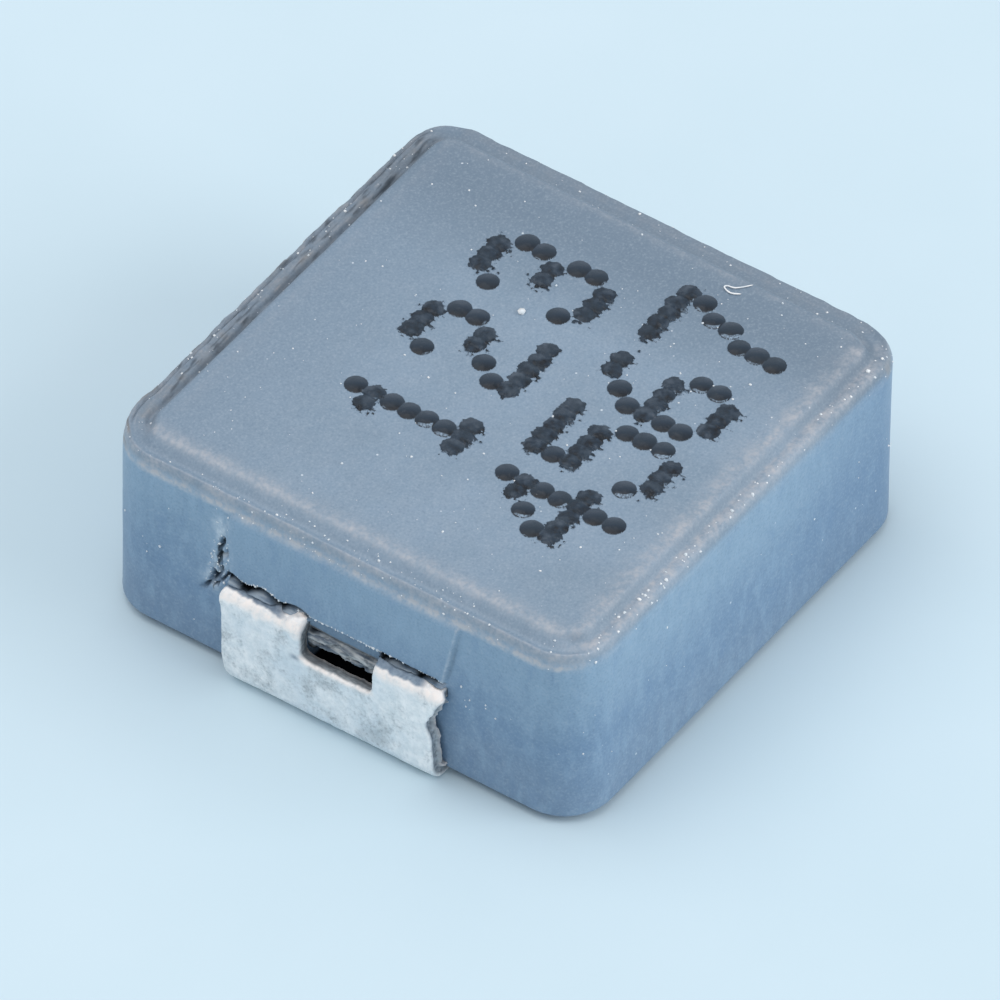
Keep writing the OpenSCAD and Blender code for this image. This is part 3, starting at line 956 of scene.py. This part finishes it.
def grains(rng, centres, sizes):
    """Tiny lumps: balls of four latitude rings of six points, each of an uneven radius."""
    turn, lift = np.radians(np.arange(0, 360, 60)), np.radians([-90, -35, 20, 90])
    level, around = np.meshgrid(lift, turn, indexing="ij")
    ball = np.stack([np.cos(level) * np.cos(around), np.cos(level) * np.sin(around), np.sin(level)], -1)
    uneven = rng.uniform(0.7, 1.15, (len(centres), 4, 6, 1))
    uneven[:, [0, -1]] = uneven[:, [0, -1], :1]
    stretch = rng.uniform(0.6, 1, (len(centres), 1, 1, 3))
    spread = ball[None] * uneven * stretch * sizes[:, None, None, None]
    points = (centres[:, None, None] + spread).reshape(-1, 3)
    quads = grid_quads(4, 6, closed=True)
    return points, np.concatenate([quads + 24 * k for k in range(len(centres))])


def dust(material, block):
    """Pale grains on the top, scattered evenly, and more on the rim, the sides and the torn
    edges by the left terminal, where they sit on points of the block's own surface; and one
    larger speck by the figures."""
    rng = np.random.default_rng(81)
    surface = surface_points(block)
    x, y, z = surface.T
    on_rim = (z > EDGE_Z - 0.06) & (z < TOP_Z - 0.06)
    on_side = (z < EDGE_Z - 0.2) & (z > 0.3) & (abs(y) > 1.7)
    on_crest = (y < -BODY_HALF_Y + 0.2) & (z > EDGE_Z + 0.1) & (z < TOP_Z - 0.08)
    above_foot = abs(z - panel_foot(y, 1) - 0.015) < 0.016
    by_foot = (x < -BODY_HALF_X - 0.02) & above_foot & (abs(y) < 1.5)
    by_line = (abs(y - pit_line(z)) < 0.15) & (z > 1.2) & (z < 2.4)
    by_pits = (x < -BODY_HALF_X + 0.1) & by_line
    places = [
        (on_rim, 240, 1), (on_side, 70, 1), (on_crest, 50, 1.5), (by_foot, 110, 1), (by_pits, 60, 1),
    ]
    top = np.append(rng.uniform(-2.9, 2.9, (170, 2)), np.full((170, 1), TOP_Z), 1)
    speck = [(1.0, 0.52, TOP_Z + 0.012)]
    chosen = [rng.choice(surface[place], count, replace=False) for place, count, _ in places]
    centres = np.concatenate([speck, top, *chosen])
    sizes = rng.choice([0.008, 0.011, 0.016, 0.023], len(centres), p=[0.34, 0.3, 0.22, 0.14])
    sizes[0] = 0.068
    sizes[len(speck) + len(top):] *= np.repeat([scale for _, _, scale in places], [n for _, n, _ in places])
    points, faces = grains(rng, centres, sizes)
    points[:, :2] = np.clip(points[:, :2], body_low[:2], body_high[:2])
    points[:, 2] = np.minimum(points[:, 2], ink_high[2])
    piece = add_piece("dust_grains", points, faces, material)
    close_mesh(piece)
    return piece


def fibre(material):
    """A short pale fibre on the top, bent back on itself as a hook: a thin tube along a curve
    through a few points, whose corners are rounded by a running mean."""
    marks = np.array([
        (2.92, -1.39), (2.81, -1.31), (2.74, -1.24), (2.73, -1.15), (2.69, -1.13), (2.655, -1.20),
        (2.65, -1.27), (2.715, -1.365),
    ])
    s = np.linspace(0, 1, 40)
    bends = np.linspace(0, 1, len(marks))
    plan = np.stack([np.interp(s, bends, marks[:, k]) for k in (0, 1)], -1)
    weights = np.ones(5) / 5
    inner = [np.convolve(plan[:, k], weights, "valid") for k in (0, 1)]
    plan[2:-2] = np.stack(inner, -1)
    path = np.append(plan, (TOP_Z + 0.011 + 0.006 * np.sin(np.pi * s))[:, None], 1)
    ahead = np.gradient(path, axis=0)
    ahead /= np.linalg.norm(ahead, axis=1, keepdims=True)
    side = np.cross(ahead, [0, 0, 1.0])
    up = np.cross(side, ahead)
    turn = np.radians(np.arange(0, 360, 45))
    radius = 0.0105 * np.sqrt(np.clip(1 - (2 * s - 1) ** 12, 0, 1)) * (0.75 + 0.25 * s)
    round_ = np.cos(turn)[None, :, None] * side[:, None] + np.sin(turn)[None, :, None] * up[:, None]
    points = path[:, None] + radius[:, None, None] * round_
    points[..., 2] = np.clip(points[..., 2], TOP_Z, ink_high[2])
    piece = add_piece("fibre", points.reshape(-1, 3), grid_quads(40, 8, closed=True), material)
    close_mesh(piece)
    return piece


# ---------------------------------------------------------------- materials


def colour(code):
    """Linear RGBA from an sRGB hex code."""
    parts = [int(code[k:k + 2], 16) / 255 for k in (1, 3, 5)]
    return [p / 12.92 if p <= 0.04045 else ((p + 0.055) / 1.055) ** 2.4 for p in parts] + [1]


def add_node(owner, kind, inputs, out=0, **settings):
    """Adds a shader node, sets its properties and its inputs, and gives one of its outputs.

    Inputs go by name in a dict, or in their own order in a list. Each is a number, a vector,
    a hex colour or another node's output, which is linked.
    """
    node = owner.node_tree.nodes.new("ShaderNode" + kind)
    for name, value in settings.items():
        setattr(node, name, value)
    for name, value in inputs.items() if isinstance(inputs, dict) else enumerate(inputs):
        if isinstance(value, bpy.types.NodeSocket):
            owner.node_tree.links.new(value, node.inputs[name])
        else:
            node.inputs[name].default_value = colour(value) if isinstance(value, str) else value
    return node.outputs[out] if node.outputs else None


def new_material(name):
    """Empty node material."""
    material = bpy.data.materials.new(name)
    material.use_nodes = True
    material.node_tree.nodes.clear()
    return material


def pressed_composite_material():
    """Iron powder bound with resin, hot pressed. The eye gets a satin slate blue, with cloudy
    patches, upright streaks on the sides, a powder grain just fine enough to see, bright
    metal specks, and edges rubbed to beige grey. Painted light is mixed in: the sides are
    bluer than the top as a painted reflection of blue paper and paler towards their top, the
    top has a painted sheen that fades towards its far +X and +Y rims, painted highlights lie on
    the rim's crests, and near-black painted shade fills the cracks, pits, hole and split.
    Clouds are 1.2 mm wide, blotches 0.19 mm and scraped streaks 0.055 mm. Real powder is about
    0.01 mm; its grain is drawn at 0.03 mm and its sparks in cells of 0.11 mm, because finer
    ones don't show."""
    m = new_material("pressed_powder_composite")
    place = add_node(m, "TexCoord", {}, "Object")
    x, y, z = add_node(m, "SeparateXYZ", [place]).node.outputs
    clouds, mottle, scrape, powder = (
        add_node(m, "TexNoise", {"Vector": place, "Scale": 1 / (size * MM), "Detail": 3})
        for size in (1.2, 0.19, 0.055, 0.03)
    )
    upright = add_node(m, "Mapping", {"Vector": place, "Scale": (1, 1, 0.3)})
    streaks = add_node(m, "TexNoise", {"Vector": upright, "Scale": 1 / (0.16 * MM), "Detail": 4})
    flat = add_node(m, "Mapping", {"Vector": place, "Scale": (1, 0.18, 1)})
    layers = add_node(m, "TexNoise", {"Vector": flat, "Scale": 1 / (0.045 * MM), "Detail": 3})
    shade_and_marks, flash, rub_and_highlight, torn = (
        add_node(m, "Attribute", {}, "Fac", attribute_name=name)
        for name in ("shade_and_marks", "flash", "rub_and_highlight", "torn")
    )

    # The sides' colour is bluer than the top's, a painted reflection of blue paper, and paler towards the
    # top of the sides as painted light; it is also darker towards +X.
    wavy_z = add_node(m, "Math", [clouds, 0.9 * MM, z], operation="MULTIPLY_ADD")
    side = "#718AA4"
    for share, tint in (
        (add_node(m, "MapRange", [wavy_z, 0.9 * MM, 1.5 * MM]), "#6D8AA7"),
        (add_node(m, "MapRange", [wavy_z, 1.6 * MM, 2.5 * MM]), "#819DB5"),
        (add_node(m, "MapRange", [streaks, 0.50, 0.68, 0, 0.25]), "#93B0C8"),
        (add_node(m, "MapRange", [streaks, 0.45, 0.32, 0, 0.18]), "#5C7FA6"),
        (add_node(m, "MapRange", [mottle, 0.45, 0.7, 0, 0.22]), "#95AEC4"),
        (add_node(m, "MapRange", [x, 0.6 * MM, 3.2 * MM, 0, 0.6]), "#5E7C9C"),
    ):
        side = add_node(m, "Mix", {0: share, 6: side, 7: tint}, 2, data_type="RGBA")

    patchy = add_node(m, "MapRange", [mottle, 0.35, 0.65, 0.35, 1])
    scraped = add_node(m, "MapRange", [scrape, 0.38, 0.62, 0.45, 1.1])
    rubbed_and_highlit = add_node(m, "Math", [rub_and_highlight, patchy], operation="MULTIPLY")
    rubbed_and_highlit = add_node(m, "Math", [rubbed_and_highlit, scraped], operation="MULTIPLY")
    cool = add_node(m, "MapRange", [z, 2.3 * MM, 2.5 * MM])
    rub_and_highlight_tint = add_node(m, "Mix", {0: cool, 6: "#BCCAD5", 7: "#AFB1B6"}, 2, data_type="RGBA")
    flashed = add_node(m, "Math", [flash, patchy], operation="MULTIPLY")
    cells = add_node(m, "TexVoronoi", {"Vector": place, "Scale": 1 / (0.11 * MM)}).node.outputs
    chance = add_node(m, "SeparateColor", [cells["Color"]])
    chosen = add_node(m, "MapRange", [chance, 0.965, 0.97, 0, 0.7])
    spark = add_node(m, "MapRange", [cells["Distance"], 0.16, 0.09])
    torn_tint = add_node(
        m, "Mix", {0: add_node(m, "MapRange", [layers, 0.38, 0.62]), 6: "#48535F", 7: "#AEB1B0"}, 2,
        data_type="RGBA",
    )
    base = "#798D9F"
    for share, tint in (
        (add_node(m, "MapRange", [clouds, 0.3, 0.7]), "#8397AA"),
        (add_node(m, "MapRange", [mottle, 0.35, 0.75, 0, 0.25]), "#8F9DAB"),
        # Painted sheen fall-off: the top is darker towards its far +Y and +X rims.
        (add_node(m, "MapRange", [y, 1.2 * MM, 2.7 * MM, 0, 0.9]), "#788B9D"),
        (add_node(m, "MapRange", [x, 1.1 * MM, 2.3 * MM, 0, 0.9]), "#6C7E8F"),
        (add_node(m, "MapRange", [z, 2.58 * MM, 2.50 * MM]), side),
        (add_node(m, "MapRange", [powder, 0.52, 0.8, 0, 0.35]), "#A9B6C2"),
        (add_node(m, "MapRange", [powder, 0.46, 0.25, 0, 0.3]), "#52687F"),
        (add_node(m, "Math", [spark, chosen], operation="MULTIPLY"), "#DCE4EA"),
        # Pale rubbing and painted highlights on the rim's crests and along the panel's clean edge.
        (add_node(m, "Math", [rubbed_and_highlit, 0.85], operation="MULTIPLY"), rub_and_highlight_tint),
        (add_node(m, "Math", [flashed, 0.8], operation="MULTIPLY"), "#928A81"),
        (add_node(m, "Math", [torn, 0.9], operation="MULTIPLY"), torn_tint),
        # Near black: painted shade in the hole, split, shelf, crack and pits and on the -Y step slope, a
        # painted shadow beside the panel, and darkening of the +Y groove and flash.
        (shade_and_marks, "#0D1013"),
    ):
        base = add_node(m, "Mix", {0: share, 6: base, 7: tint}, 2, data_type="RGBA")

    height = add_node(m, "Math", [powder, 0.5, mottle], operation="MULTIPLY_ADD")
    grain = add_node(m, "Bump", {"Height": height, "Distance": 0.004 * MM, "Strength": 0.6})
    satin = add_node(m, "MapRange", [mottle, 0.2, 0.8, 0.36, 0.48])
    shader = add_node(
        m, "BsdfPrincipled",
        {
            "Base Color": base,
            "Roughness": add_node(m, "Math", [shade_and_marks, 0.55, satin], operation="MULTIPLY_ADD"),
            "Specular IOR Level": add_node(m, "MapRange", [shade_and_marks, 0.2, 1, 0.5, 0]),
            "IOR": 1.5,
            "Normal": grain,
        },
    )
    add_node(m, "OutputMaterial", [shader])
    return m


def tinned_copper_material():
    """Matt tin plate on folded copper strip. The eye gets a pale, slightly blue grey metal,
    frosty rather than mirror-like, mottled in grains of tin, with grey crumbs in blotches,
    and whiter and warmer over the bend, where the tin is crazed and a painted highlight lies,
    with a painted highlight along the worn strip's burr. Tin grains are a few micrometres;
    they are drawn as 0.11 mm mottles and 0.04 mm crumbs, in blotches of 0.42 mm, so that they
    show."""
    m = new_material("tinned_copper")
    place = add_node(m, "TexCoord", {}, "Object")
    drift, blotch, mottle, fine = (
        add_node(m, "TexNoise", {"Vector": place, "Scale": 1 / (size * MM), "Detail": 4, "Roughness": 0.6})
        for size in (1.5, 0.42, 0.11, 0.04)
    )
    drawn = add_node(m, "Mapping", {"Vector": place, "Scale": (1, 0.25, 1)})
    scratch = add_node(m, "TexNoise", {"Vector": drawn, "Scale": 1 / (0.038 * MM), "Detail": 3})
    bend, smear, sheared, shaded = (
        add_node(m, "Attribute", {}, "Fac", attribute_name=name)
        for name in ("bend", "smear", "sheared", "shaded")
    )
    crumbly = add_node(m, "MapRange", [fine, 0.48, 0.66])
    patches = add_node(m, "MapRange", [blotch, 0.45, 0.62, 0.1, 0.5])
    crumbs = add_node(m, "Math", [crumbly, patches], operation="MULTIPLY")
    cut_tint, smear_tint = (
        add_node(
            m, "Mix", {0: add_node(m, "MapRange", [pattern, 0.35, 0.65]), 6: dark, 7: light}, 2,
            data_type="RGBA",
        )
        for pattern, dark, light in ((scratch, "#606B75", "#A9B3BA"), (mottle, "#66788C", "#93A3B2"))
    )
    crackle = add_node(m, "MapRange", [mottle, 0.35, 0.6, 0.45, 1])
    crazed = add_node(m, "Math", [bend, crackle], operation="MULTIPLY")
    base = "#E4E9EB"
    for share, tint in (
        (add_node(m, "MapRange", [mottle, 0.35, 0.65]), "#FAFBFB"),
        (add_node(m, "MapRange", [drift, 0.5, 0.66, 0, 0.45]), "#CADAE5"),
        (add_node(m, "MapRange", [blotch, 0.52, 0.66, 0, 0.55]), "#B4BBBF"),
        (crumbs, "#8E979D"),
        # Whiter over the bend and on the burr: crazed tin with a painted highlight.
        (crazed, "#FFF7F1"),
        (add_node(m, "Math", [sheared, 0.85], operation="MULTIPLY"), cut_tint),
        (shaded, "#1C2228"),
        (smear, smear_tint),
    ):
        base = add_node(m, "Mix", {0: share, 6: base, 7: tint}, 2, data_type="RGBA")
    height = add_node(m, "Math", [scratch, 0.5, mottle], operation="MULTIPLY_ADD")
    shader = add_node(
        m, "BsdfPrincipled",
        {
            "Base Color": base,
            "Metallic": add_node(m, "MapRange", [smear, 0, 1, 0.45, 0]),
            "Roughness": add_node(m, "MapRange", [mottle, 0.3, 0.7, 0.5, 0.68]),
            "Normal": add_node(m, "Bump", {"Height": height, "Distance": 0.012 * MM, "Strength": 0.7}),
        },
    )
    add_node(m, "OutputMaterial", [shader])
    return m


def dried_ink_material():
    """Dried black marking ink. The eye gets a soft blue black with a low sheen on each domed
    dot, greyer on its +X +Y side as a painted highlight and darker on its -X -Y side as painted
    shade, crinkled, and worn to a speckled grey film at some edges. Specks are drawn at
    0.026 mm, as coarse as they need."""
    m = new_material("black_ink")
    place = add_node(m, "TexCoord", {}, "Object")
    broad, speckle = (
        add_node(m, "TexNoise", {"Vector": place, "Scale": 1 / (size * MM), "Detail": 3})
        for size in (0.17, 0.026)
    )
    cover, dome, dome_shade = (
        add_node(m, "Attribute", {}, "Fac", attribute_name=name)
        for name in ("cover", "dome", "dome_shade")
    )
    worn = add_node(m, "MapRange", [cover, 0.7, 0.3])
    speckled = add_node(m, "MapRange", [speckle, 0.40, 0.58, 0.35, 1])
    base = "#46525F"
    for share, tint in (
        # Painted dome shading: lighter on each dot's +X +Y side, darker on its -X -Y side.
        (add_node(m, "MapRange", [dome_shade, 0.0, 0.5]), "#1F2F3E"),
        (add_node(m, "MapRange", [dome_shade, 0.5, 0.85]), "#050E18"),
        (add_node(m, "MapRange", [broad, 0.45, 0.7, 0, 0.5]), "#22303B"),
        (add_node(m, "Math", [worn, speckled], operation="MULTIPLY"), "#8599AC"),
    ):
        base = add_node(m, "Mix", {0: share, 6: base, 7: tint}, 2, data_type="RGBA")
    height = add_node(m, "Math", [speckle, 0.12, dome], operation="MULTIPLY_ADD")
    shader = add_node(
        m, "BsdfPrincipled",
        {
            "Base Color": base,
            "Roughness": add_node(m, "MapRange", [broad, 0.3, 0.7, 0.36, 0.5]),
            "Specular IOR Level": 0.38,
            "IOR": 1.5,
            "Normal": add_node(m, "Bump", {"Height": height, "Distance": 0.012 * MM, "Strength": 0.8}),
        },
    )
    add_node(m, "OutputMaterial", [shader])
    return m


def enamelled_wire_material():
    """Copper wire under clear amber enamel. The eye gets a warm reddish brown gloss, with
    the copper's own metal tint and a thin clear coat."""
    m = new_material("enamelled_wire")
    place = add_node(m, "TexCoord", {}, "Object")
    shade = add_node(m, "TexNoise", {"Vector": place, "Scale": 1 / (0.4 * MM), "Detail": 3})
    share = add_node(m, "MapRange", [shade, 0.3, 0.7])
    base = add_node(m, "Mix", {0: share, 6: "#A8562A", 7: "#C4703A"}, 2, data_type="RGBA")
    drawn = add_node(m, "Bump", {"Height": shade, "Distance": 0.002 * MM, "Strength": 0.4})
    shader = add_node(
        m, "BsdfPrincipled",
        {
            "Base Color": base, "Metallic": 1.0, "Roughness": 0.28, "Coat Weight": 0.8,
            "Coat Roughness": 0.1, "Normal": drawn,
        },
    )
    add_node(m, "OutputMaterial", [shader])
    return m


def dust_material():
    """Pale mineral and paper dust. The eye gets nearly white, matt specks with a faint tone."""
    m = new_material("pale_dust")
    place = add_node(m, "TexCoord", {}, "Object")
    tone = add_node(m, "TexNoise", {"Vector": place, "Scale": 1 / (0.12 * MM), "Detail": 2})
    share = add_node(m, "MapRange", [tone, 0.35, 0.65])
    base = add_node(m, "Mix", {0: share, 6: "#CFD8DE", 7: "#F3F3F2"}, 2, data_type="RGBA")
    crumbly = add_node(m, "Bump", {"Height": tone, "Distance": 0.003 * MM, "Strength": 0.5})
    shader = add_node(
        m, "BsdfPrincipled", {"Base Color": base, "Roughness": 0.7, "IOR": 1.5, "Normal": crumbly}
    )
    add_node(m, "OutputMaterial", [shader])
    return m


def floor_material():
    """Smooth uncoated paper, pale and slightly cool, with a barely seen unevenness."""
    m = new_material("pale_floor")
    place = add_node(m, "TexCoord", {}, "Object")
    tone = add_node(m, "TexNoise", {"Vector": place, "Scale": 1 / (3.3 * MM), "Detail": 3})
    share = add_node(m, "MapRange", [tone, 0.3, 0.7])
    base = add_node(m, "Mix", {0: share, 6: "#C8DCE5", 7: "#CBDEE7"}, 2, data_type="RGBA")
    shader = add_node(m, "BsdfPrincipled", {"Base Color": base, "Roughness": 0.9, "IOR": 1.45})
    add_node(m, "OutputMaterial", [shader])
    return m


# ---------------------------------------------------------------- build


composite = pressed_composite_material()
tin = tinned_copper_material()
ink = dried_ink_material()

block = pressed_block(composite)
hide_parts("moulded_body")

left = strip_sheet("terminal_strip_left", tin, worn=1, turned=False)
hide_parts("left_terminal")

right = strip_sheet("terminal_strip_right", tin, worn=0, turned=True)
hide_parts("right_terminal")

marking = ink_marking(ink)
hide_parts("ink_marking")

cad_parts["coil"].data.materials[0] = enamelled_wire_material()

pale = dust_material()
dust(pale, block)
fibre(pale)


# ---------------------------------------------------------------- studio

half_floor = 0.25
floor_mesh = bpy.data.meshes.new("floor")
floor_mesh.from_pydata(
    [(x * half_floor, y * half_floor, 0) for x, y in ((-1, -1), (1, -1), (1, 1), (-1, 1))],
    [], [(0, 1, 2, 3)],
)
floor_mesh.materials.append(floor_material())
floor = bpy.data.objects.new("floor", floor_mesh)
bpy.context.scene.collection.objects.link(floor)


def area_lamp(name, place, size, power, tint):
    """Square soft lamp, placed in metres, that faces the part."""
    light = bpy.data.lights.new(name, "AREA")
    light.size = size
    light.energy = power
    light.color = colour(tint)[:3]
    lamp = bpy.data.objects.new(name, light)
    lamp.location = place
    lamp.rotation_mode = "QUATERNION"
    lamp.rotation_quaternion = Vector(place).to_track_quat("Z", "Y")
    bpy.context.scene.collection.objects.link(lamp)


area_lamp("overhead", (-0.05, 0.08, 0.30), 0.30, 0.43, "#FFFFFF")
area_lamp("side_fill", (0.10, -0.30, 0.16), 0.24, 0.56, "#FFFFFF")

world = bpy.data.worlds.new("studio")
bpy.context.scene.world = world
world.use_nodes = True
sky = world.node_tree.nodes["Background"]
sky.inputs["Color"].default_value = colour("#F0F4FA")
sky.inputs["Strength"].default_value = 0.72

camera_data = bpy.data.cameras.new("camera")
camera_data.lens = 992
camera_data.sensor_width = 36
camera_data.clip_end = 10
camera = bpy.data.objects.new("camera", camera_data)
aim = Vector((-0.504, -0.251, 1.4))
away = Vector((-0.59062, -0.40413, 0.69846))
distance = 315.63
lean = radians(0.86)
camera.location = aim * MM + away * distance * MM
camera.rotation_mode = "QUATERNION"
camera.rotation_quaternion = away.to_track_quat("Z", "Y") @ Quaternion((0, 0, 1), lean)
bpy.context.scene.collection.objects.link(camera)
bpy.context.scene.camera = camera
bpy.context.scene.view_settings.view_transform = "Standard"
